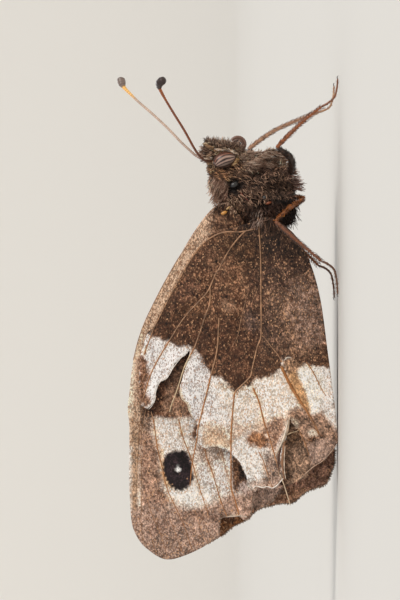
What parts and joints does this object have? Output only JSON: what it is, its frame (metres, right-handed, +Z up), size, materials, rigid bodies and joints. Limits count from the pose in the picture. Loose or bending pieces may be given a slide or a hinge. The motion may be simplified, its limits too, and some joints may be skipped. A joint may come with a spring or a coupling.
{
  "type": "rock grayling butterfly model",
  "caption": "Still life-size rock grayling butterfly at rest with worn, closed wings, clubbed antennae and coiled tongue, standing on its feet and hindwing corners.",
  "frame": {"origin": "middle of the box round the whole animal, on the ground it stands on", "axes": "+X towards the head, +Y towards the animal's left side, +Z up from the ground"},
  "size_m": [0.0409, 0.0139, 0.0185],
  "materials": {
    "wing_scales": "matt, powdery scales",
    "fur": "soft brown hair and scales",
    "horn": "satin horny skin with short bristles",
    "eye": "glossy, fine facets with darker bands"
  },
  "bodies": {
    "root": {"head": "fur", "thorax": "fur", "abdomen": "fur", "palp_right": "fur", "palp_left": "fur", "eye_right": "eye", "eye_left": "eye", "proboscis": "horn", "antenna_right": "horn", "antenna_left": "horn", "forewing_right": "wing_scales", "forewing_left": "wing_scales", "hindwing_right": "wing_scales", "hindwing_left": "wing_scales", "foreleg_right": "fur", "foreleg_left": "fur", "femur_mid_right": "horn", "tibia_mid_right": "horn", "tarsus_mid_right": "horn", "femur_mid_left": "horn", "tibia_mid_left": "horn", "tarsus_mid_left": "horn", "femur_hind_right": "horn", "tibia_hind_right": "horn", "tarsus_hind_right": "horn", "femur_hind_left": "horn", "tibia_hind_left": "horn", "tarsus_hind_left": "horn"}
  },
  "joints": []
}
